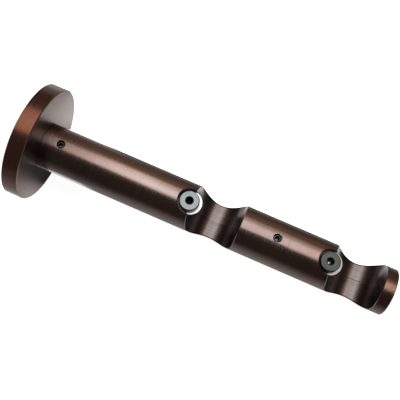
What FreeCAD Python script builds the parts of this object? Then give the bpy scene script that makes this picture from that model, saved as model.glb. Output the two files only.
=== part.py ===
import FreeCAD, Part
import math
import os

# A wall bracket that carries two parallel curtain poles.
# A round stem stands square out of a wall rose and is cut across by two round-bottomed
# pole seats that open upwards. A clamp screw and washer stand beside each seat.
#
# Millimetres. The origin is the centre of the wall face, the stem runs out along -Y,
# the poles lie along X and the seats open towards +Z. "Out" is a distance from the wall.

Vector = FreeCAD.Vector

# Poles
pole_diameter = 20.0
pole_clearance = 0.4
pole_height = 4.3

# Places along the stem: the wall, the inner pole, the seam, the outer pole, the free end
wall_to_inner_pole = 85.5
inner_pole_to_seam = 31.3
seam_to_outer_pole = 30.7
outer_pole_to_end = 15.5

# Stem: its outside, the wall around its two bores and its small bevels
stem_diameter = 20.0
stem_wall = 5.0
stem_root_bevel = 0.1
stem_end_bevel = 0.4
seam_bevel = 0.05

# Pole seats
seat_wall_flare = 11.0
seat_edge_bevel = 0.25

# Wall rose: a turned cup with a flat front
rose_diameter = 50.0
rose_depth = 7.0
rose_wall = 1.5
rose_edge_bevel = 0.4

# Wall plate inside the rose, with its three screw holes
plate_thickness = 3.5
plate_gap = 0.4
wall_hole_diameter = 4.5
wall_hole_circle = 31.0
wall_hole_count = 3
wall_sink_diameter = 8.4

# Spigot on the wall plate, which the stem slides over
spigot_length = 16.0
collar_diameter = 18.0
spigot_bore_spare = 1.5
joint_clearance = 0.1

# Countersunk screw that holds the spigot to the plate from behind
plate_screw_diameter = 5.0
plate_screw_head = 10.0
plate_screw_length = 12.0
plate_screw_socket = 3.0
plate_screw_socket_depth = 1.8

# Plug on the outer stem, which slides into the inner stem, and the metal left past its bore
plug_bore_spare = 1.5
plug_bore_wall = 3.4

# Grub screws: one locks the stem on the spigot, the other locks the joint
grub_diameter = 4.0
grub_sink = 1.17
grub_socket = 2.0
grub_socket_depth = 1.9
grub_edge_bevel = 0.3
grub_tip_radius = 0.5
grub_root_reach = 7.9
grub_joint_reach = 5.1
groove_depth = 0.7

# Clamp screws, their washers and the round pockets they lie in
clamp_reach = 12.2
clamp_screw_shift = 0.4
clamp_sink = 0.9
clamp_head_diameter = 8.5
clamp_head_height = 2.6
clamp_head_bevel = 0.35
clamp_thread_diameter = 4.0
clamp_thread_length = 9.0
clamp_socket = 3.0
clamp_socket_depth = 2.0
clamp_washer_diameter = 10.4
clamp_washer_thickness = 1.0
clamp_washer_bevel = 0.15
pocket_clearance = 0.1

# Shared by every threaded hole and screw
thread_clearance = 0.03
hole_spare = 1.5
drill_angle = 118.0
margin = 5.0

# Sizes that follow from the ones above
stem_radius = stem_diameter / 2
seat_radius = pole_diameter / 2 + pole_clearance
stem_root_out = rose_depth
spigot_diameter = stem_diameter - 2 * stem_wall
plug_diameter = stem_diameter - 2 * stem_wall
inner_pole_out = wall_to_inner_pole
seam_out = inner_pole_out + inner_pole_to_seam
outer_pole_out = seam_out + seam_to_outer_pole
stem_end_out = outer_pole_out + outer_pole_to_end
plug_bore_length = inner_pole_to_seam - seat_radius - plug_bore_wall
plug_length = plug_bore_length - plug_bore_spare
cover_inside = rose_depth - rose_wall
grub_root_out = stem_root_out + grub_root_reach
grub_joint_out = seam_out - grub_joint_reach
clamp_face_height = stem_radius - clamp_sink
clamp_seat_height = clamp_face_height - clamp_head_height
pocket_floor_height = clamp_seat_height - clamp_washer_thickness
pocket_radius = clamp_washer_diameter / 2 + pocket_clearance


def turned(profile):
    """A solid turned about the stem's axis from (out, radius) corners."""
    corners = [Vector(0, -out, -radius) for out, radius in profile]
    face = Part.Face(Part.makePolygon(corners + [corners[0]]))
    return face.revolve(Vector(0, 0, 0), Vector(0, 1, 0), 360)


def upright_rod(radius, out, bottom, top):
    """A round rod that stands parallel to Z, at a distance out from the wall."""
    return Part.makeCylinder(radius, top - bottom, Vector(0, -out, bottom))


def upright_turned(profile, out):
    """A solid turned about a vertical axis from (radius, height) corners."""
    corners = [Vector(radius, -out, height) for radius, height in profile]
    face = Part.Face(Part.makePolygon(corners + [corners[0]]))
    return face.revolve(Vector(0, -out, 0), Vector(0, 0, 1), 360)


def drill_point(radius):
    """The height of the cone that a drill of that radius leaves."""
    return radius / math.tan(math.radians(drill_angle / 2))


def hexagon_socket(across_flats, centre, direction, depth):
    """The space of a hexagon socket: six flats and a pointed end."""
    corner_radius = across_flats / math.sqrt(3)
    prism_corners = []
    for corner in range(7):
        angle = math.radians(60 * corner)
        prism_corners.append(
            Vector(corner_radius * math.cos(angle), corner_radius * math.sin(angle), 0)
        )
    outline = Part.makePolygon(prism_corners)
    prism = Part.Face(outline).extrude(Vector(0, 0, depth))
    point = Part.Vertex(0, 0, depth + drill_point(corner_radius))
    outline.translate(Vector(0, 0, depth))
    socket = prism.fuse(Part.makeLoft([outline, point], True))
    turn = FreeCAD.Rotation(Vector(0, 0, 1), direction)
    socket.Placement = FreeCAD.Placement(centre, turn)
    return socket


def groove_ring(out, radius):
    """The ring that cuts a V groove into a rod on the stem's axis."""
    outside = radius + groove_depth
    ring = [
        (out, radius - groove_depth),
        (out - 2 * groove_depth, outside),
        (out + 2 * groove_depth, outside),
    ]
    return turned(ring)


def seat_cut(pole_out):
    """What is milled away for one pole: a round bottom, one flared and one upright wall."""
    flare = math.radians(seat_wall_flare)
    top = stem_radius + margin

    def place(out_from_pole, height):
        return Vector(-stem_diameter, -(pole_out + out_from_pole), height)

    wall_side = place(-seat_radius * math.cos(flare), pole_height - seat_radius * math.sin(flare))
    bottom = place(0, pole_height - seat_radius)
    room_side = place(seat_radius, pole_height)
    rise = top - wall_side.z
    wall_top = place(-seat_radius * math.cos(flare) - rise * math.tan(flare), top)
    room_top = place(seat_radius, top)
    outline = Part.Wire(
        [
            Part.Arc(wall_side, bottom, room_side).toShape(),
            Part.makeLine(room_side, room_top),
            Part.makeLine(room_top, wall_top),
            Part.makeLine(wall_top, wall_side),
        ]
    )
    return Part.Face(outline).extrude(Vector(2 * stem_diameter, 0, 0))


def clamp_cut(pole_out):
    """The pocket for a clamp washer and the threaded hole under it."""
    out = pole_out - clamp_reach
    pocket = upright_rod(pocket_radius, out, pocket_floor_height, stem_radius + margin)
    hole_radius = clamp_thread_diameter / 2 + thread_clearance
    hole_bottom = pocket_floor_height - clamp_thread_length - hole_spare
    hole = [
        (0, hole_bottom - drill_point(hole_radius)),
        (hole_radius, hole_bottom),
        (hole_radius, pocket_floor_height + margin),
        (0, pocket_floor_height + margin),
    ]
    return pocket.fuse(upright_turned(hole, out - clamp_screw_shift))


def grub_hole(out):
    """A threaded hole from the top of the stem down to its axis."""
    return upright_rod(grub_diameter / 2 + thread_clearance, out, 0, stem_radius + margin)


def bevelled(solid, width, wanted):
    """The solid with a small bevel on the edges that the wanted test picks."""
    edges = [edge for edge in solid.Edges if wanted(edge)]
    return solid.makeChamfer(width, edges)


def on_stem_surface(edge):
    """True for an edge that runs over the round outside of the stem."""
    for share in (0.1, 0.5, 0.9):
        at = edge.FirstParameter + share * (edge.LastParameter - edge.FirstParameter)
        point = edge.valueAt(at)
        if abs(math.hypot(point.x, point.z) - stem_radius) > 0.001:
            return False
    return True


def is_seat_edge(edge):
    """True for the edges where a pole seat or its clamp pocket meets the stem's outside."""
    if not on_stem_surface(edge) or edge.Curve.TypeId == "Part::GeomLine":
        return False
    middle = edge.valueAt((edge.FirstParameter + edge.LastParameter) / 2)
    for pole_out in (inner_pole_out, outer_pole_out):
        from_pole = -middle.y - pole_out
        if -clamp_reach - pocket_radius < from_pole < seat_radius:
            return True
    return False


def inner_stem():
    """The stem from the rose to the joint: seat, pocket, two bores and two threaded holes."""
    bore = spigot_diameter / 2 + joint_clearance
    bore_end = stem_root_out + spigot_length + spigot_bore_spare
    socket = plug_diameter / 2 + joint_clearance
    socket_end = seam_out - plug_bore_length
    blank = turned(
        [
            (stem_root_out, bore),
            (stem_root_out, stem_radius - stem_root_bevel),
            (stem_root_out + stem_root_bevel, stem_radius),
            (seam_out - seam_bevel, stem_radius),
            (seam_out, stem_radius - seam_bevel),
            (seam_out, socket),
            (socket_end, socket),
            (socket_end, 0),
            (bore_end + drill_point(bore), 0),
            (bore_end, bore),
        ]
    )
    solid = blank.cut(seat_cut(inner_pole_out)).cut(clamp_cut(inner_pole_out))
    for out in (grub_root_out, grub_joint_out):
        solid = solid.cut(grub_hole(out))
    return bevelled(solid, seat_edge_bevel, is_seat_edge)


def outer_stem():
    """The stem from the joint to its free end, with its plug, seat and pocket."""
    plug = plug_diameter / 2
    plug_end = seam_out - plug_length
    blank = turned(
        [
            (plug_end, 0),
            (plug_end, plug),
            (seam_out, plug),
            (seam_out, stem_radius - seam_bevel),
            (seam_out + seam_bevel, stem_radius),
            (stem_end_out - stem_end_bevel, stem_radius),
            (stem_end_out, stem_radius - stem_end_bevel),
            (stem_end_out, 0),
        ]
    )
    grooved = blank.cut(groove_ring(grub_joint_out, plug))
    solid = grooved.cut(seat_cut(outer_pole_out)).cut(clamp_cut(outer_pole_out))
    return bevelled(solid, seat_edge_bevel, is_seat_edge)


def rose_cover():
    """A turned cup: open towards the wall, with a hole for the spigot in its flat front."""
    outside = rose_diameter / 2
    inside = outside - rose_wall
    hole = spigot_diameter / 2 + joint_clearance
    cup = turned(
        [
            (0, inside),
            (0, outside),
            (rose_depth, outside),
            (rose_depth, hole),
            (cover_inside, hole),
            (cover_inside, inside),
        ]
    )

    def is_front_rim(edge):
        at_front = abs(edge.BoundBox.YMin + rose_depth) < 0.001
        flat = edge.BoundBox.YLength < 0.001
        return at_front and flat and abs(edge.BoundBox.XMax - outside) < 0.001

    return bevelled(cup, rose_edge_bevel, is_front_rim)


def wall_plate():
    """The round steel plate that is screwed to the wall."""
    radius = rose_diameter / 2 - rose_wall - plate_gap
    plate = turned([(0, 0), (0, radius), (plate_thickness, radius), (plate_thickness, 0)])
    hole_radius = wall_hole_diameter / 2
    sink_radius = wall_sink_diameter / 2
    sink_depth = sink_radius - hole_radius
    hole_profile = [
        (-margin, 0),
        (-margin, hole_radius),
        (plate_thickness - sink_depth, hole_radius),
        (plate_thickness, sink_radius),
        (plate_thickness + margin, sink_radius),
        (plate_thickness + margin, 0),
    ]
    for number in range(wall_hole_count):
        angle = math.radians(90 + 360 * number / wall_hole_count)
        hole = turned(hole_profile)
        hole.translate(Vector(math.cos(angle), 0, math.sin(angle)) * (wall_hole_circle / 2))
        plate = plate.cut(hole)
    return plate.cut(plate_screw_space())


def plate_screw_space():
    """The countersunk way through the plate for the spigot's screw."""
    shank = plate_screw_diameter / 2 + joint_clearance
    head = plate_screw_head / 2 + joint_clearance
    return turned(
        [
            (-margin, 0),
            (-margin, head),
            (0, head),
            (head - shank, shank),
            (plate_thickness + margin, shank),
            (plate_thickness + margin, 0),
        ]
    )


def spigot():
    """The turned pin on the plate: a collar behind the cover, and a grooved pin in the stem."""
    pin = spigot_diameter / 2
    pin_end = stem_root_out + spigot_length
    hole = plate_screw_diameter / 2 + thread_clearance
    hole_end = plate_screw_length + hole_spare
    body = turned(
        [
            (plate_thickness, hole),
            (plate_thickness, collar_diameter / 2),
            (cover_inside, collar_diameter / 2),
            (cover_inside, pin),
            (pin_end, pin),
            (pin_end, 0),
            (hole_end + drill_point(hole), 0),
            (hole_end, hole),
        ]
    )
    return body.cut(groove_ring(grub_root_out, pin))


def spigot_screw():
    """The countersunk screw, flush with the back of the plate."""
    head = plate_screw_head / 2
    shank = plate_screw_diameter / 2
    screw = turned(
        [
            (0, 0),
            (0, head),
            (head - shank, shank),
            (plate_screw_length, shank),
            (plate_screw_length, 0),
        ]
    )
    socket = hexagon_socket(
        plate_screw_socket, Vector(0, 0, 0), Vector(0, -1, 0), plate_screw_socket_depth
    )
    return screw.cut(socket)


def grub_screw(out, rod_radius):
    """A socket grub screw whose point lies in the groove of the rod below it."""
    radius = grub_diameter / 2
    cone_height = radius - grub_tip_radius
    tip = rod_radius - groove_depth + grub_tip_radius + thread_clearance
    top = stem_radius - grub_sink
    profile = [
        (0, tip),
        (grub_tip_radius, tip),
        (radius, tip + cone_height),
        (radius, top - grub_edge_bevel),
        (radius - grub_edge_bevel, top),
        (0, top),
    ]
    face = Vector(0, -out, top)
    socket = hexagon_socket(grub_socket, face, Vector(0, 0, -1), grub_socket_depth)
    return upright_turned(profile, out).cut(socket)


def clamp_screw(pole_out):
    """A low-headed socket screw, standing upright beside a pole seat."""
    out = pole_out - clamp_reach - clamp_screw_shift
    head = clamp_head_diameter / 2
    thread = clamp_thread_diameter / 2
    tip = pocket_floor_height - clamp_thread_length
    profile = [
        (0, tip),
        (thread, tip),
        (thread, clamp_seat_height),
        (head, clamp_seat_height),
        (head, clamp_face_height - clamp_head_bevel),
        (head - clamp_head_bevel, clamp_face_height),
        (0, clamp_face_height),
    ]
    face = Vector(0, -out, clamp_face_height)
    socket = hexagon_socket(clamp_socket, face, Vector(0, 0, -1), clamp_socket_depth)
    return upright_turned(profile, out).cut(socket)


def clamp_washer(pole_out):
    """The round washer under a clamp screw, which reaches over the edge of the seat."""
    radius = clamp_washer_diameter / 2
    hole = clamp_thread_diameter / 2 + clamp_screw_shift + joint_clearance
    low = pocket_floor_height
    high = clamp_seat_height
    profile = [
        (hole, low),
        (radius, low),
        (radius, high - clamp_washer_bevel),
        (radius - clamp_washer_bevel, high),
        (hole, high),
    ]
    return upright_turned(profile, pole_out - clamp_reach)


parts = {
    "wall_plate": wall_plate(),
    "spigot": spigot(),
    "spigot_screw": spigot_screw(),
    "rose_cover": rose_cover(),
    "inner_stem": inner_stem(),
    "outer_stem": outer_stem(),
    "root_grub_screw": grub_screw(grub_root_out, spigot_diameter / 2),
    "joint_grub_screw": grub_screw(grub_joint_out, plug_diameter / 2),
}
for place, pole_out in (("inner", inner_pole_out), ("outer", outer_pole_out)):
    parts[place + "_clamp_screw"] = clamp_screw(pole_out)
    parts[place + "_clamp_washer"] = clamp_washer(pole_out)

os.makedirs("parts", exist_ok=True)
for node, shape in parts.items():
    print(node, len(shape.Solids), "solid,", round(shape.Volume, 1), "cubic mm,", shape.isValid())
    shape.exportStep("parts/" + node + ".step")
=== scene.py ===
# %% [markdown]
# # A curtain pole bracket in dark lacquered bronze
#
# The bracket is a turned stem on a flat rose, cut across by two pole seats.
# The solid model brings every piece at its real size. This lesson adds the studio, the
# camera and the finishes: turned bronze under lacquer, milled seats, bright steel washers.
# It also adds the turn of thread that shows above each grub screw.

# %% Load the model and keep its box
import math
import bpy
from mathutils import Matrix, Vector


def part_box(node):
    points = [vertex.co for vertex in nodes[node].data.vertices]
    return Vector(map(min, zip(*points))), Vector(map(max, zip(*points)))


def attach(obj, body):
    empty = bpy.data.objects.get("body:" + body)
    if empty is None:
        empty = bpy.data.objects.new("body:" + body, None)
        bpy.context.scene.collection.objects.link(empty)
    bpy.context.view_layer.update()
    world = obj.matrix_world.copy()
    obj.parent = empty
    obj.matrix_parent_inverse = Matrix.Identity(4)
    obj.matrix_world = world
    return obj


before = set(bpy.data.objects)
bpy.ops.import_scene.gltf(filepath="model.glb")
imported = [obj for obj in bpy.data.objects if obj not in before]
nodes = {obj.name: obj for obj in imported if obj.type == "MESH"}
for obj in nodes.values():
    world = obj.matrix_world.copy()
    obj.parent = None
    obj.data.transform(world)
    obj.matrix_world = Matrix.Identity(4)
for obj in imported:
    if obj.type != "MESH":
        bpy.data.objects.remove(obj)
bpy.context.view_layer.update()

from types import SimpleNamespace

import bpy
from mathutils import Matrix, Vector

MM = 0.001
print("pieces of the model:", sorted(nodes))

# %% [markdown]
# ## The camera
#
# The bracket is seen from close by and from above its pole seats, so near and far ends
# differ in size. A place and three directions say this best: the picture's right, its up,
# and the way the lens looks. They make the camera's matrix directly.

# %% Place the camera
CAMERA_PLACE = Vector((-68.1, -92.25, 258.19)) * MM
PICTURE_RIGHT = Vector((0.395, -0.9169, 0.0567)).normalized()
PICTURE_UP = Vector((0.8778, 0.3949, 0.2713)).normalized()
SENSOR_WIDTH = 36.0
FOCAL_LENGTH = 57.17
SIDE_SHIFT = -0.0042
NEAREST_SEEN = 10 * MM

camera_data = bpy.data.cameras.new("picture_camera")
camera_data.sensor_width = SENSOR_WIDTH
camera_data.lens = FOCAL_LENGTH
camera_data.shift_x = SIDE_SHIFT
camera_data.clip_start = NEAREST_SEEN
camera = bpy.data.objects.new("picture_camera", camera_data)
bpy.context.collection.objects.link(camera)
backwards = PICTURE_RIGHT.cross(PICTURE_UP).normalized()
upright = backwards.cross(PICTURE_RIGHT)
turn = Matrix((PICTURE_RIGHT, upright, backwards)).transposed().to_4x4()
camera.matrix_world = Matrix.Translation(CAMERA_PLACE) @ turn
bpy.context.scene.camera = camera
bpy.context.scene.view_settings.view_transform = "Standard"
print("the lens looks along", [round(-value, 3) for value in backwards])

# %% [markdown]
# ## Small helpers for node trees
#
# Every finish is a tree of shader nodes. A few short functions keep the trees readable:
# one adds a node, one joins two sockets, and the others add the nodes used most often.

# %% Helpers that add and join nodes
def add_node(tree, kind, **settings):
    """A node of that kind, with its settings."""
    node = tree.nodes.new(kind)
    for name, value in settings.items():
        setattr(node, name, value)
    return node


def plug(tree, value, socket):
    """Joins a socket to another, or writes a plain value into it."""
    if isinstance(value, bpy.types.NodeSocket):
        tree.links.new(value, socket)
    else:
        socket.default_value = value


def opaque(red, green, blue):
    """A colour with full alpha."""
    return (red, green, blue, 1.0)


# %% Helpers for numbers and masks
def math_node(tree, operation, *values):
    """The result of a Math node, with its inputs in order."""
    node = add_node(tree, "ShaderNodeMath", operation=operation)
    for value, socket in zip(values, node.inputs):
        plug(tree, value, socket)
    return node.outputs[0]


def product(tree, first, *others):
    """Several numbers multiplied together."""
    result = first
    for value in others:
        result = math_node(tree, "MULTIPLY", result, value)
    return result


def opposite(tree, mask):
    """1 where the mask is 0, and 0 where it is 1."""
    return math_node(tree, "SUBTRACT", 1.0, mask)


def smooth_step(tree, value, low, high):
    """0 below low, 1 above high, and a soft step between them."""
    node = add_node(tree, "ShaderNodeMapRange", interpolation_type="SMOOTHSTEP")
    plug(tree, value, node.inputs["Value"])
    plug(tree, low, node.inputs["From Min"])
    plug(tree, high, node.inputs["From Max"])
    return node.outputs["Result"]


# %% Helpers that mix
def mix(tree, data_type, share, first, second):
    """What lies between two values of that type, a share of the way to the second."""
    node = add_node(tree, "ShaderNodeMix", data_type=data_type)
    plug(tree, share, node.inputs["Factor"])
    plug(tree, first, node.inputs["A"])
    plug(tree, second, node.inputs["B"])
    return node.outputs["Result"]


def mix_colour(tree, share, first, second):
    """A colour between two others."""
    return mix(tree, "RGBA", share, first, second)


def mix_value(tree, share, first, second):
    """A number between two others."""
    return mix(tree, "FLOAT", share, first, second)


# %% [markdown]
# ## The sweep
#
# The bracket lies on a white sweep. To the lens the sweep is nearly pure white, and it
# still takes a faint shadow. In the polished metal it shows painted light and shade, as
# paper under a soft box would: a painted shadow below the bracket, painted light beside it,
# and the brightest painted light at the foot of the rose. Two colour ramps across the paper
# paint this into its grey, one for the stem and one for the rose. Each stop is a place in
# millimetres and the painted grey there.

# %% The paper's painted greys
PAPER_WIDTH = 300 * MM
PAINTED_GREYS_BY_STEM = (
    (-150, 0.32), (-111, 0.36), (-37, 0.48), (-12, 0.34), (-3, 0.22), (7, 0.30),
    (13, 1.00), (21, 1.00), (28, 0.06), (50, 0.25), (119, 0.12),
)
PAINTED_GREYS_BY_ROSE = (
    (-134, 0.09), (-111, 0.12), (-42, 0.16), (-30, 0.22), (-18, 0.90), (-13, 0.50),
    (-10, 0.04), (10, 0.10), (16, 0.40), (22, 1.00), (34, 1.00), (44, 0.14),
    (94, 0.22), (120, 0.12),
)


def grey_ramp(tree, across, stops):
    """A colour ramp over the paper's width, from places and their greys."""
    ramp = add_node(tree, "ShaderNodeValToRGB")
    tree.links.new(across, ramp.inputs["Fac"])
    elements = ramp.color_ramp.elements
    for index, (place, grey) in enumerate(stops):
        position = place * MM / PAPER_WIDTH + 0.5
        if index == len(elements):
            elements.new(position)
        elements[index].position = position
        elements[index].color = opaque(grey, grey, grey)
    return ramp.outputs["Color"]


print("stops by the stem:", len(PAINTED_GREYS_BY_STEM), "and by the rose:", len(PAINTED_GREYS_BY_ROSE))

# %% [markdown]
# ## The paper's two glows
#
# The Light Path node tells who is looking. A ray from the lens sees a steady white glow. A
# ray that comes off polished metal, or through glass, instead sees the paper's painted
# greys glow as painted light, more strongly beside the rose than along the stem.

# %% Paper
PURE_WHITE = opaque(1.0, 1.0, 1.0)
ROSE_PAPER = (-28 * MM, -19 * MM)
STEM_PAINTED_GLOW = 0.40
ROSE_PAINTED_GLOW = 1.55
SWEEP_GLOW_SEEN = 0.965

paper = bpy.data.materials.new("white_paper")
paper.use_nodes = True
tree = paper.node_tree
surface = tree.nodes["Principled BSDF"]
surface.inputs["Roughness"].default_value = 1.0
surface.inputs["Specular IOR Level"].default_value = 0.0
surface.inputs["Emission Color"].default_value = PURE_WHITE

apart = add_node(tree, "ShaderNodeSeparateXYZ")
tree.links.new(add_node(tree, "ShaderNodeTexCoord").outputs["Object"], apart.inputs[0])
across = math_node(tree, "MULTIPLY_ADD", apart.outputs["X"], 1 / PAPER_WIDTH, 0.5)
# The two ramps paint light and shade into the paper's grey.
painted_by_stem = grey_ramp(tree, across, PAINTED_GREYS_BY_STEM)
painted_by_rose = grey_ramp(tree, across, PAINTED_GREYS_BY_ROSE)
near_rose = smooth_step(tree, apart.outputs["Y"], *ROSE_PAPER)
painted_paper_tone = mix_colour(tree, near_rose, painted_by_stem, painted_by_rose)
tree.links.new(painted_paper_tone, surface.inputs["Base Color"])

ray = add_node(tree, "ShaderNodeLightPath")
mirrored = math_node(
    tree, "MAXIMUM", ray.outputs["Is Glossy Ray"], ray.outputs["Is Transmission Ray"]
)
seen_glow = product(tree, ray.outputs["Is Camera Ray"], SWEEP_GLOW_SEEN)
# Metal sees the painted greys glow as painted light, more strongly beside the rose.
painted_glow = mix_value(tree, near_rose, STEM_PAINTED_GLOW, ROSE_PAINTED_GLOW)
mirrored_painted_glow = product(tree, mirrored, painted_paper_tone, painted_glow)
glow = math_node(tree, "ADD", seen_glow, mirrored_painted_glow)
tree.links.new(glow, surface.inputs["Emission Strength"])
print("paper:", paper.name, "with", len(tree.nodes), "nodes")

# %% [markdown]
# ## The sheet
#
# The sheet itself is one flat face, six metres across, that just clears the rim of the
# rose.

# %% Lay the sweep
SWEEP_HEIGHT = -27 * MM
SWEEP_HALF = 3000 * MM

sweep_mesh = bpy.data.meshes.new("sweep")
sweep_corners = []
for side_x, side_y in ((-1, -1), (1, -1), (1, 1), (-1, 1)):
    sweep_corners.append((side_x * SWEEP_HALF, side_y * SWEEP_HALF, SWEEP_HEIGHT))
sweep_mesh.from_pydata(sweep_corners, [], [(0, 1, 2, 3)])
sweep_mesh.materials.append(paper)
sweep = bpy.data.objects.new("sweep", sweep_mesh)
bpy.context.collection.objects.link(sweep)
print("sweep laid at", round(SWEEP_HEIGHT / MM, 1), "mm")

# %% [markdown]
# ## The room
#
# Polished metal shows the room more than its own colour. The room around the table is
# dim and a little warm, which draws the dark bands along the stem. Only the lens sees it
# white, through the Light Path node.

# %% Dim room
ROOM_LEVEL = 0.085
ROOM_COLOUR = opaque(1.0, 0.88, 0.79)

world = bpy.data.worlds.new("dim_room")
world.use_nodes = True
bpy.context.scene.world = world
tree = world.node_tree
tree.nodes.clear()
ray = add_node(tree, "ShaderNodeLightPath")
room = add_node(tree, "ShaderNodeBackground")
room.inputs["Color"].default_value = ROOM_COLOUR
room.inputs["Strength"].default_value = ROOM_LEVEL
backdrop = add_node(tree, "ShaderNodeBackground")
backdrop.inputs["Color"].default_value = PURE_WHITE
either = add_node(tree, "ShaderNodeMixShader")
world_output = add_node(tree, "ShaderNodeOutputWorld")
tree.links.new(ray.outputs["Is Camera Ray"], either.inputs[0])
tree.links.new(room.outputs[0], either.inputs[1])
tree.links.new(backdrop.outputs[0], either.inputs[2])
tree.links.new(either.outputs[0], world_output.inputs["Surface"])
print("room:", world.name, "at", ROOM_LEVEL)

# %% [markdown]
# ## Soft boxes
#
# One large soft box hangs over the bracket. A real one is brightest in front of its bulb
# and fades to its edges, so it is built from a few area lamps one over the other. Warm
# panels at the side, behind the rose and past the free end stand for the walls of the room
# that the box lights up. Places and sizes are in millimetres.

# %% Lamps
STEM_MIDDLE = (0, -85, 0)
WHITE = (1.0, 1.0, 1.0)
COOL = (0.5, 0.85, 1.0)
BULB_TONE = (0.78, 0.92, 1.0)
WALL_TONE = (1.0, 0.70, 0.47)
SIDE_TONE = (1.0, 0.60, 0.33)


def lit_panel(name, place, size, brightness, colour, aim=None):
    """An area lamp whose face shines at that brightness, straight down or at a point."""
    lamp = bpy.data.lights.new(name, "AREA")
    lamp.shape = "RECTANGLE"
    lamp.size, lamp.size_y = [length * MM for length in size]
    lamp.energy = brightness * math.pi * lamp.size * lamp.size_y
    lamp.color = colour
    panel = bpy.data.objects.new(name, lamp)
    bpy.context.collection.objects.link(panel)
    if aim is None:
        aim = (place[0], place[1], 0)
    panel.location = Vector(place) * MM
    towards = Vector(aim) * MM - Vector(place) * MM
    panel.rotation_euler = towards.to_track_quat("-Z", "Y").to_euler()


lit_panel("box_whole", (120, -90, 330), (350, 311), 1.7, WHITE)
lit_panel("box_inside", (80, -110, 332), (240, 230), 1.85, BULB_TONE)
lit_panel("box_bulb", (55, -32, 334), (100, 90), 1.5, COOL)
lit_panel("box_edge", (345, -90, 330), (100, 311), 1.35, WHITE)
lit_panel("box_rose_end", (160, 32, 331), (360, 66), 2.4, WHITE)
lit_panel("box_back_edge", (105, 113, 330), (330, 56), 1.4, WALL_TONE)
lit_panel("box_free_end", (100, -240, 331), (200, 90), 1.6, WALL_TONE)
lit_panel("side_wall_high", (420, -77, 250), (386, 210), 0.43, SIDE_TONE, aim=STEM_MIDDLE)
lit_panel("side_wall_low", (420, -77, 75), (386, 150), 0.26, SIDE_TONE, aim=STEM_MIDDLE)
print("lamps:", len(bpy.data.lights))

# %% [markdown]
# ## Cutter marks
#
# A lathe leaves fine rings. On a surface turned about an axis they follow one number:
# distance from the axis plus distance along it. One-dimensional noise of that number gives
# rings on the flat faces and on the round sides alike. The same noise with another number
# gives the straight marks of a milling cutter, so it is one shared group.

# %% Group: cutter marks
FINE_NOISE = {"Scale": 1.0, "Detail": 3.0, "Roughness": 0.7}
BROAD_NOISE = {"Scale": 0.13, "Detail": 2.0}
TONE_STEP = (0.1, 0.4)


def noise(tree, dimensions, **settings):
    """A noise texture with its settings."""
    node = add_node(tree, "ShaderNodeTexNoise", noise_dimensions=dimensions)
    for name, value in settings.items():
        node.inputs[name].default_value = value
    return node


def cutter_marks_group():
    """Height and tone of tool marks that repeat along one measured distance."""
    tree = bpy.data.node_groups.new("cutter_marks", "ShaderNodeTree")
    face = tree.interface
    face.new_socket("Distance", in_out="INPUT", socket_type="NodeSocketFloat")
    face.new_socket("Marks per Metre", in_out="INPUT", socket_type="NodeSocketFloat")
    face.new_socket("Height", in_out="OUTPUT", socket_type="NodeSocketFloat")
    face.new_socket("Tone", in_out="OUTPUT", socket_type="NodeSocketFloat")
    given = add_node(tree, "NodeGroupInput")
    result = add_node(tree, "NodeGroupOutput")
    steps = product(tree, given.outputs["Distance"], given.outputs["Marks per Metre"])
    fine = noise(tree, "1D", **FINE_NOISE)
    tree.links.new(steps, fine.inputs["W"])
    broad = noise(tree, "1D", **BROAD_NOISE)
    tree.links.new(steps, broad.inputs["W"])
    tree.links.new(fine.outputs["Fac"], result.inputs["Height"])
    both = product(tree, fine.outputs["Fac"], broad.outputs["Fac"])
    tree.links.new(smooth_step(tree, both, *TONE_STEP), result.inputs["Tone"])
    return tree


cutter_marks = cutter_marks_group()
print("group:", cutter_marks.name, "with", len(cutter_marks.nodes), "nodes")

# %% [markdown]
# ## Patina
#
# Bronzing is a chemical stain, so it is never quite even. A slow three-dimensional cloud
# makes the colour drift a little over each piece. Steel dulls in the same way, in smaller
# clouds, so this is a shared group as well.

# %% Group: patina
CLOUD_NOISE = {"Detail": 4.0, "Roughness": 0.6}
CLOUD_STEP = (0.3, 0.7)


def patina_group():
    """A slow cloud from 0 to 1 over the object's own coordinates."""
    tree = bpy.data.node_groups.new("patina", "ShaderNodeTree")
    face = tree.interface
    face.new_socket("Position", in_out="INPUT", socket_type="NodeSocketVector")
    face.new_socket("Clouds per Metre", in_out="INPUT", socket_type="NodeSocketFloat")
    face.new_socket("Cloud", in_out="OUTPUT", socket_type="NodeSocketFloat")
    given = add_node(tree, "NodeGroupInput")
    result = add_node(tree, "NodeGroupOutput")
    cloud = noise(tree, "3D", **CLOUD_NOISE)
    tree.links.new(given.outputs["Position"], cloud.inputs["Vector"])
    tree.links.new(given.outputs["Clouds per Metre"], cloud.inputs["Scale"])
    spread = smooth_step(tree, cloud.outputs["Fac"], *CLOUD_STEP)
    tree.links.new(spread, result.inputs["Cloud"])
    return tree


patina = patina_group()
print("group:", patina.name, "with", len(patina.nodes), "nodes")

# %% [markdown]
# ## Any metal on this bracket
#
# Every piece was turned about an axis: the stem's, or the one through its own middle. The
# first helper reads the piece's own coordinates and measures them from that axis. The
# second starts a metal with them, and the third finishes it: colour, gloss, and the tool
# marks as a fine bump.

# %% Measure, start and finish a metal
MARK_DEPTH = 0.01 * MM


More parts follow.
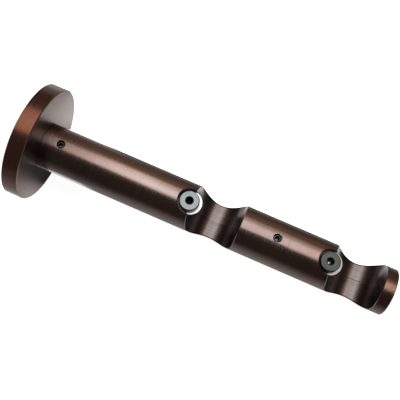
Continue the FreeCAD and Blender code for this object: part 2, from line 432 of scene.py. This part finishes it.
def measure(tree, axis_place, axis):
    """The piece's own coordinates, and their distances from its turning axis."""
    place = add_node(tree, "ShaderNodeTexCoord").outputs["Object"]
    shifted = add_node(tree, "ShaderNodeVectorMath", operation="SUBTRACT")
    tree.links.new(place, shifted.inputs[0])
    shifted.inputs[1].default_value = axis_place
    apart = add_node(tree, "ShaderNodeSeparateXYZ")
    tree.links.new(shifted.outputs[0], apart.inputs[0])
    x, y, z = apart.outputs
    squares = []
    for name, value in (("X", x), ("Y", y), ("Z", z)):
        if name != axis:
            squares.append(product(tree, value, value))
    radius = math_node(tree, "SQRT", math_node(tree, "ADD", *squares))
    distance = math_node(tree, "ADD", radius, apart.outputs[axis])
    return SimpleNamespace(place=place, x=x, y=y, z=z, radius=radius, distance=distance)


def start_metal(name, axis_place, axis):
    """A metal's material, tree and shader, and the measures from its turning axis."""
    finish = bpy.data.materials.new(name)
    finish.use_nodes = True
    tree = finish.node_tree
    surface = tree.nodes["Principled BSDF"]
    surface.inputs["Metallic"].default_value = 1.0
    spot = measure(tree, axis_place, axis)
    return SimpleNamespace(finish=finish, tree=tree, surface=surface, spot=spot)


def finish_metal(metal, colour, roughness, height, mark_strength):
    """Gives a metal its colour, its gloss and the bump of its tool marks."""
    tree = metal.tree
    surface = metal.surface
    tree.links.new(colour, surface.inputs["Base Color"])
    tree.links.new(roughness, surface.inputs["Roughness"])
    bump = add_node(tree, "ShaderNodeBump")
    bump.inputs["Strength"].default_value = mark_strength
    bump.inputs["Distance"].default_value = MARK_DEPTH
    tree.links.new(height, bump.inputs["Height"])
    tree.links.new(bump.outputs["Normal"], surface.inputs["Normal"])
    return metal.finish


print("depth of the tool marks:", MARK_DEPTH / MM, "mm")

# %% [markdown]
# ## Bronze under lacquer
#
# The dark brown is a thin metal stain and the shine on top of it is clear lacquer. The
# Principled shader has both: a metallic base and a coat. Stem and rose start the same way,
# with the cloud and the turning marks as one tone that their colours follow.

# %% Start a bronze
TURNING_MARKS = 7000.0
STAIN_CLOUDS = 60.0
BRONZE_GLOSS_SWING = 0.06
LACQUER_ROUGHNESS = 0.22
LACQUER_IOR = 1.5


def place_group(tree, group, **values):
    """Places a shared group in a tree and feeds its inputs."""
    node = add_node(tree, "ShaderNodeGroup", node_tree=group)
    for name, value in values.items():
        plug(tree, value, node.inputs[name.replace("_", " ")])
    return node


def start_bronze(name, mark_share, roughness):
    """Stained and lacquered metal, turned about the stem's own axis."""
    bronze = start_metal(name, (0, 0, 0), "Y")
    tree = bronze.tree
    bronze.surface.inputs["Coat Roughness"].default_value = LACQUER_ROUGHNESS
    bronze.surface.inputs["Coat IOR"].default_value = LACQUER_IOR
    marks = place_group(
        tree, cutter_marks, Distance=bronze.spot.distance, Marks_per_Metre=TURNING_MARKS
    )
    cloud = place_group(
        tree, patina, Position=bronze.spot.place, Clouds_per_Metre=STAIN_CLOUDS
    )
    bronze.height = marks.outputs["Height"]
    bronze.tone = mix_value(tree, mark_share, cloud.outputs["Cloud"], marks.outputs["Tone"])
    bronze.roughness = math_node(
        tree, "MULTIPLY_ADD", marks.outputs["Tone"], BRONZE_GLOSS_SWING,
        roughness - BRONZE_GLOSS_SWING / 2
    )
    return bronze


print("turning marks per millimetre:", TURNING_MARKS * MM)

# %% [markdown]
# ## The edges of the seats
#
# The stem was turned and then milled across. Distance from the stem's axis tells the turned
# outside from the milled seats. Where a seat leaves the round, a painted highlight runs
# along its upper edge and painted shade along its lower one. Masks made from distances stay
# sharp from close by, which a painted picture would not.

# %% Stem: where each kind of surface is
SEAT_START = 0.40 * MM
EDGE_WIDTH = 0.38 * MM
END_DEPTH = 0.5 * MM
EDGE_HEIGHTS = (0.0 * MM, 3.0 * MM)
LOW_EDGE = (0.70 * MM, 0.40 * MM)
EDGE_SHADE_DARKNESS = 0.9
EDGE_HIGHLIGHT_STRENGTH = 3.0


def half_width(node):
    """Half of a piece's width, which is the radius of a round piece."""
    low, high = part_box(node)
    return (high[0] - low[0]) / 2


STEM_RADIUS = half_width("inner_stem")
STEM_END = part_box("outer_stem")[0][1]


def stem_masks(tree, spot):
    """Masks for the turned outside, and for the painted highlight and painted shade at the
    seats' edges.
    """
    seat_start = STEM_RADIUS - SEAT_START
    on_outside = smooth_step(tree, spot.radius, seat_start, seat_start + EDGE_WIDTH)
    at_end = math_node(tree, "LESS_THAN", spot.y, STEM_END + END_DEPTH)
    turned = math_node(tree, "MAXIMUM", on_outside, at_end)
    high_up = smooth_step(tree, spot.z, *EDGE_HEIGHTS)
    near_edge = smooth_step(
        tree, spot.radius, STEM_RADIUS - LOW_EDGE[0], STEM_RADIUS - LOW_EDGE[1]
    )
    # Painted shade along the seats' lower edges, and a painted highlight along their upper
    # edges.
    painted_edge_shade = product(
        tree, near_edge, opposite(tree, turned), opposite(tree, high_up), EDGE_SHADE_DARKNESS
    )
    painted_edge_highlight = product(
        tree, on_outside, opposite(tree, on_outside), EDGE_HIGHLIGHT_STRENGTH, high_up
    )
    return turned, painted_edge_highlight, painted_edge_shade


print("stem radius for the masks:", round(STEM_RADIUS / MM, 2), "mm")

# %% [markdown]
# ## The line in the outer seat
#
# A thin dark line crosses the middle of the outer seat. It shows no depth, so it is a mask
# and no shape: a little to one side of the axis, and between two places along it.

# %% Stem: the line across the outer seat
LINE_PLACE = 0.6 * MM
LINE_WIDTH = 0.30 * MM
LINE_FROM = -152.0 * MM
LINE_TO = -144.5 * MM
LINE_DARKNESS = 0.88


def seat_line(tree, spot):
    """A mask for the thin dark line that crosses the outer seat."""
    aside = math_node(tree, "ABSOLUTE", math_node(tree, "SUBTRACT", spot.x, LINE_PLACE))
    beside_line = smooth_step(tree, aside, 0.0, LINE_WIDTH)
    after_start = math_node(tree, "GREATER_THAN", spot.y, LINE_FROM)
    before_end = math_node(tree, "LESS_THAN", spot.y, LINE_TO)
    return product(
        tree, after_start, before_end, opposite(tree, beside_line), LINE_DARKNESS
    )


print("length of the line:", round((LINE_TO - LINE_FROM) / MM, 2), "mm")

# %% [markdown]
# ## The stem's colours
#
# Inside the seats the marks run another way, and the stain is darker and greyer. Past the
# seam the stain grows redder. Both stems share one finish, because that change is gradual
# and follows the axis that they share.

# %% Stem: colours and finish
STEM_BRONZE = (opaque(0.125, 0.072, 0.057), opaque(0.155, 0.095, 0.077))
OUTER_BRONZE = (opaque(0.128, 0.060, 0.040), opaque(0.160, 0.078, 0.053))
SEAT_BRONZE = (opaque(0.050, 0.028, 0.022), opaque(0.086, 0.060, 0.051))
EDGE_HIGHLIGHT_TONE = opaque(0.55, 0.48, 0.43)
BLACK = opaque(0.0, 0.0, 0.0)
STEM_ROUGHNESS = 0.25
SEAT_ROUGHNESS = 0.33
STEM_MARK_SHARE = 0.12
STEM_MARK_STRENGTH = 0.05
MILLING_MARKS = 3500.0
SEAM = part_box("inner_stem")[0][1]
STAIN_DRIFT = 18.0 * MM


def turned_colour(bronze):
    """The stain on the round outside, which grows redder past the seam."""
    tree = bronze.tree
    before_seam = smooth_step(tree, bronze.spot.y, SEAM - STAIN_DRIFT, SEAM)
    inner = mix_colour(tree, bronze.tone, *STEM_BRONZE)
    outer = mix_colour(tree, bronze.tone, *OUTER_BRONZE)
    return mix_colour(tree, before_seam, outer, inner)


def make_stem_bronze():
    """The finish of both stems, with a painted highlight and painted shade at the seats'
    edges.
    """
    bronze = start_bronze("stem_bronze", STEM_MARK_SHARE, STEM_ROUGHNESS)
    tree = bronze.tree
    turned, painted_edge_highlight, painted_edge_shade = stem_masks(tree, bronze.spot)
    # Dark: the line across the outer seat, and the painted shade along the seats' lower
    # edges.
    dark = math_node(tree, "MAXIMUM", seat_line(tree, bronze.spot), painted_edge_shade)
    milled = place_group(
        tree, cutter_marks, Distance=bronze.spot.x, Marks_per_Metre=MILLING_MARKS
    )
    seat = mix_colour(tree, milled.outputs["Tone"], *SEAT_BRONZE)
    seat = mix_colour(tree, dark, seat, BLACK)
    colour = mix_colour(tree, turned, seat, turned_colour(bronze))
    # A painted highlight along the seats' upper edges.
    colour = mix_colour(tree, painted_edge_highlight, colour, EDGE_HIGHLIGHT_TONE)
    roughness = mix_value(tree, turned, SEAT_ROUGHNESS, bronze.roughness)
    height = mix_value(tree, turned, milled.outputs["Height"], bronze.height)
    tree.links.new(opposite(tree, dark), bronze.surface.inputs["Coat Weight"])
    return finish_metal(bronze, colour, roughness, height, STEM_MARK_STRENGTH)


stem_bronze = make_stem_bronze()
print("finish:", stem_bronze.name, "with", len(stem_bronze.node_tree.nodes), "nodes")

# %% [markdown]
# ## The rose
#
# The rose's rim is lacquered like the stem and redder. Its flat face is brushed and has no
# lacquer, so it mirrors the stem only softly. Where face and rim meet, a fine copper line
# is a painted highlight on the edge. Distance along the stem's axis tells face, line and
# rim apart.

# %% Rose
ROSE_BRONZE = (opaque(0.135, 0.047, 0.027), opaque(0.250, 0.098, 0.062))
FACE_BRONZE = (opaque(0.105, 0.070, 0.058), opaque(0.140, 0.098, 0.084))
RIM_EDGE_HIGHLIGHT = opaque(0.55, 0.30, 0.20)
ROSE_ROUGHNESS = 0.22
FACE_ROUGHNESS = 0.38
ROSE_MARK_SHARE = 0.7
ROSE_MARK_STRENGTH = 0.28
FACE_EDGE = 0.12 * MM
RIM_EDGE = (0.30 * MM, 0.45 * MM)
ROSE_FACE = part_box("rose_cover")[0][1]


def make_rose_bronze():
    """The rose's finish: lacquered rim, a painted highlight line at its edge, and brushed
    face.
    """
    bronze = start_bronze("rose_bronze", ROSE_MARK_SHARE, ROSE_ROUGHNESS)
    tree = bronze.tree
    along = bronze.spot.y
    on_rim = smooth_step(tree, along, ROSE_FACE, ROSE_FACE + FACE_EDGE)
    past_line = smooth_step(tree, along, ROSE_FACE + RIM_EDGE[0], ROSE_FACE + RIM_EDGE[1])
    rim = mix_colour(tree, bronze.tone, *ROSE_BRONZE)
    # A painted highlight line where the face meets the rim.
    rim = mix_colour(tree, past_line, RIM_EDGE_HIGHLIGHT, rim)
    face = mix_colour(tree, bronze.tone, *FACE_BRONZE)
    colour = mix_colour(tree, on_rim, face, rim)
    roughness = mix_value(tree, on_rim, FACE_ROUGHNESS, bronze.roughness)
    tree.links.new(on_rim, bronze.surface.inputs["Coat Weight"])
    return finish_metal(bronze, colour, roughness, bronze.height, ROSE_MARK_STRENGTH)


rose_bronze = make_rose_bronze()
print("rose face at", round(ROSE_FACE / MM, 2), "mm along the stem")

# %% [markdown]
# ## Painted shade and glints
#
# A screw's socket gets painted shade, and its floor a painted glint. A washer gets painted
# shade on the side where the pocket's wall shades it, apart from the crescent towards its
# pole seat. Distance from the piece's own axis tells the socket apart, and the direction
# from it tells that side.

# %% Painted shade and glints in sockets and on washers
SOCKET_LIP = 0.2 * MM
FLOOR_RADIUS = 0.75 * MM
# Painted shade for a washer's wall side.
WASHER_PAINTED_SHADE = opaque(0.030, 0.024, 0.021)
CRESCENT = (0.02, 0.22)


def add_socket(tree, spot, shade, socket):
    """Painted shade inside a screw's socket, and a painted glint on its floor."""
    socket_radius, socket_shade, floor = socket
    outside = smooth_step(tree, spot.radius, socket_radius - SOCKET_LIP, socket_radius)
    shade = mix_colour(tree, outside, socket_shade, shade)
    off_floor = smooth_step(tree, spot.radius, FLOOR_RADIUS - SOCKET_LIP, FLOOR_RADIUS)
    return mix_colour(tree, off_floor, floor, shade)


def add_crescent(tree, spot, shade):
    """Painted shade on a washer's wall side, apart from the crescent towards its pole seat.
    """
    seat_side = product(tree, spot.y, -1.0)
    towards_seat = math_node(tree, "DIVIDE", seat_side, spot.radius)
    seat_facing = smooth_step(tree, towards_seat, *CRESCENT)
    return mix_colour(tree, seat_facing, WASHER_PAINTED_SHADE, shade)


print("radius of a socket's floor:", FLOOR_RADIUS / MM, "mm")

# %% [markdown]
# ## Steel
#
# Screws, washers and the wall plate are turned steel. Each has its own turning axis, so its
# marks are rings about its own middle. One function makes them all, and painted shade and
# glints are options in it.

# %% Steel
STEEL_MARKS = 5000.0
STEEL_MARK_STRENGTH = 0.4
STEEL_GLOSS_SWING = 0.10
STEEL_CLOUDS = 300.0
DULL_SHARE = 0.8


def steel(name, colour, roughness, axis_place, axis, socket=None, crescent=False):
    """Turned steel, which may have a socket's painted shade and glint, or a washer's
    painted shade beside its bright crescent.
    """
    metal = start_metal(name, axis_place, axis)
    tree = metal.tree
    spot = metal.spot
    marks = place_group(
        tree, cutter_marks, Distance=spot.distance, Marks_per_Metre=STEEL_MARKS
    )
    cloud = place_group(tree, patina, Position=spot.place, Clouds_per_Metre=STEEL_CLOUDS)
    dull = opaque(*[DULL_SHARE * value for value in colour[:3]])
    shade = mix_colour(tree, cloud.outputs["Cloud"], dull, colour)
    if socket is not None:
        shade = add_socket(tree, spot, shade, socket)
    if crescent:
        shade = add_crescent(tree, spot, shade)
    gloss = math_node(
        tree, "MULTIPLY_ADD", marks.outputs["Tone"], STEEL_GLOSS_SWING,
        roughness - STEEL_GLOSS_SWING / 2
    )
    return finish_metal(metal, shade, gloss, marks.outputs["Height"], STEEL_MARK_STRENGTH)


print("marks per millimetre of steel:", STEEL_MARKS * MM)

# %% [markdown]
# ## Dressing the model
#
# Every piece of the model gets one finish. Screws and washers share the steel function, and
# only their middles, tones, gloss, painted shade and painted glints differ.

# %% Tones of the steel pieces
# The two clamp screws are alike, and so are their two washers; the inner pair is painted
# lighter and the outer pair darker, as painted light and shade.
INNER_HEAD_LIT = opaque(0.146, 0.145, 0.144)
OUTER_HEAD_SHADED = opaque(0.050, 0.052, 0.050)
INNER_WASHER_LIT = opaque(0.405, 0.362, 0.343)
OUTER_WASHER_SHADED = opaque(0.195, 0.180, 0.170)
GRUB_STEEL = opaque(0.013, 0.012, 0.012)
PLATE_STEEL = opaque(0.52, 0.52, 0.53)
# A painted glint for socket floors.
PAINTED_GLINT = opaque(0.96, 0.96, 0.94)
HEAD_ROUGHNESS = 0.36
WASHER_ROUGHNESS = 0.3
GRUB_ROUGHNESS = 0.3
PLATE_ROUGHNESS = 0.38

# Each socket: its radius, the painted shade inside it, and the painted glint on its floor.
INNER_SOCKET = (1.98 * MM, opaque(0.014, 0.014, 0.014), opaque(0.110, 0.100, 0.096))
OUTER_SOCKET = (1.95 * MM, opaque(0.028, 0.030, 0.028), PAINTED_GLINT)
GRUB_SOCKET = (1.25 * MM, opaque(0.040, 0.040, 0.040), PAINTED_GLINT)
print("radius of the inner clamp socket:", round(INNER_SOCKET[0] / MM, 2), "mm")


# %% Dress every piece
def middle(node):
    """The middle of a piece's box."""
    low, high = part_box(node)
    return tuple((low[index] + high[index]) / 2 for index in range(3))


def dress(node, finish):
    """Gives a piece of the model its finish."""
    mesh = nodes[node].data
    mesh.materials.clear()
    mesh.materials.append(finish)


def dress_upright(node, colour, roughness, **details):
    """Steel for a screw or washer that stands upright in the stem."""
    dress(node, steel(node, colour, roughness, middle(node), "Z", **details))


for node in ("inner_stem", "outer_stem"):
    dress(node, stem_bronze)
dress("rose_cover", rose_bronze)
dress_upright("inner_clamp_screw", INNER_HEAD_LIT, HEAD_ROUGHNESS, socket=INNER_SOCKET)
dress_upright("outer_clamp_screw", OUTER_HEAD_SHADED, HEAD_ROUGHNESS, socket=OUTER_SOCKET)
dress_upright("inner_clamp_washer", INNER_WASHER_LIT, WASHER_ROUGHNESS, crescent=True)
dress_upright("outer_clamp_washer", OUTER_WASHER_SHADED, WASHER_ROUGHNESS, crescent=True)
for node in ("root_grub_screw", "joint_grub_screw"):
    dress_upright(node, GRUB_STEEL, GRUB_ROUGHNESS, socket=GRUB_SOCKET)
for node in ("wall_plate", "spigot", "spigot_screw"):
    dress(node, steel(node, PLATE_STEEL, PLATE_ROUGHNESS, (0, 0, 0), "Y"))
print("finishes:", len(bpy.data.materials))

# %% [markdown]
# ## Thread in the two grub screw holes
#
# Each grub screw sits below the stem's surface, so a turn of its threaded hole shows above
# it. Geometry Nodes sweeps a small triangle along a spiral, and puts one such ridge at each
# hole. The holes are the two vertices of the object that carries the modifier.

# %% Tree: thread ridges
SPIRAL_STEPS = 40
RIDGE_SIDES = 3


def thread_tree():
    """A node tree that puts one spiral ridge at each vertex."""
    tree = bpy.data.node_groups.new("thread_ridges", "GeometryNodeTree")
    face = tree.interface
    face.new_socket("Geometry", in_out="INPUT", socket_type="NodeSocketGeometry")
    for name in ("Radius", "Ridge", "Height", "Turns"):
        face.new_socket(name, in_out="INPUT", socket_type="NodeSocketFloat")
    face.new_socket("Finish", in_out="INPUT", socket_type="NodeSocketMaterial")
    face.new_socket("Geometry", in_out="OUTPUT", socket_type="NodeSocketGeometry")
    given = add_node(tree, "NodeGroupInput")
    result = add_node(tree, "NodeGroupOutput")
    spiral = add_node(tree, "GeometryNodeCurveSpiral")
    spiral.inputs["Resolution"].default_value = SPIRAL_STEPS
    tree.links.new(given.outputs["Turns"], spiral.inputs["Rotations"])
    tree.links.new(given.outputs["Radius"], spiral.inputs["Start Radius"])
    tree.links.new(given.outputs["Radius"], spiral.inputs["End Radius"])
    tree.links.new(given.outputs["Height"], spiral.inputs["Height"])
    profile = add_node(tree, "GeometryNodeCurvePrimitiveCircle")
    profile.inputs["Resolution"].default_value = RIDGE_SIDES
    tree.links.new(given.outputs["Ridge"], profile.inputs["Radius"])
    ridge = add_node(tree, "GeometryNodeCurveToMesh")
    ridge.inputs["Fill Caps"].default_value = True
    tree.links.new(spiral.outputs["Curve"], ridge.inputs["Curve"])
    tree.links.new(profile.outputs["Curve"], ridge.inputs["Profile Curve"])
    at_holes = add_node(tree, "GeometryNodeInstanceOnPoints")
    tree.links.new(given.outputs["Geometry"], at_holes.inputs["Points"])
    tree.links.new(ridge.outputs["Mesh"], at_holes.inputs["Instance"])
    real = add_node(tree, "GeometryNodeRealizeInstances")
    tree.links.new(at_holes.outputs["Instances"], real.inputs["Geometry"])
    dressed = add_node(tree, "GeometryNodeSetMaterial")
    tree.links.new(real.outputs["Geometry"], dressed.inputs["Geometry"])
    tree.links.new(given.outputs["Finish"], dressed.inputs["Material"])
    tree.links.new(dressed.outputs["Geometry"], result.inputs["Geometry"])
    return tree


thread_ridges = thread_tree()
print("tree:", thread_ridges.name, "with", len(thread_ridges.nodes), "nodes")

# %% [markdown]
# ## A ridge for each hole
#
# The holes' places come from the grub screws themselves, a little above their tops. The
# tree's inputs are set by their identifiers. Its result then becomes a plain mesh, and the
# modifier goes, so the ridges are a finished piece that rides with the stem.

# %% Mark the holes
RIDGE_LIFT = 0.15 * MM

hole_places = []
for node in ("root_grub_screw", "joint_grub_screw"):
    centre = middle(node)
    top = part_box(node)[1][2]
    hole_places.append((centre[0], centre[1], top + RIDGE_LIFT))

hole_mesh = bpy.data.meshes.new("thread_ridges")
hole_mesh.from_pydata(hole_places, [], [])
ridges = bpy.data.objects.new("thread_ridges", hole_mesh)
bpy.context.collection.objects.link(ridges)
print("holes marked:", len(hole_places))

# %% Place the ridges
RIDGE_SIZE = 0.22 * MM
RIDGE_PITCH = 0.7 * MM
RIDGE_TURNS = 1.1
HOLE_CLEARANCE = 0.03 * MM
THREAD_STEEL = opaque(0.36, 0.32, 0.30)
THREAD_ROUGHNESS = 0.25

modifier = ridges.modifiers.new("ridges", "NODES")
modifier.node_group = thread_ridges
ridge_values = {
    "Radius": half_width("joint_grub_screw") + HOLE_CLEARANCE - RIDGE_SIZE / 2,
    "Ridge": RIDGE_SIZE,
    "Height": RIDGE_PITCH * RIDGE_TURNS,
    "Turns": RIDGE_TURNS,
    "Finish": steel("thread_steel", THREAD_STEEL, THREAD_ROUGHNESS, (0, 0, 0), "Z"),
}
for item in thread_ridges.interface.items_tree:
    if item.in_out == "INPUT" and item.name in ridge_values:
        modifier[item.identifier] = ridge_values[item.name]

evaluated = ridges.evaluated_get(bpy.context.evaluated_depsgraph_get())
ridge_mesh = bpy.data.meshes.new_from_object(evaluated)
ridges.modifiers.remove(modifier)
ridges.data = ridge_mesh
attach(ridges, "root")
print("ridges:", len(ridge_mesh.polygons), "faces")
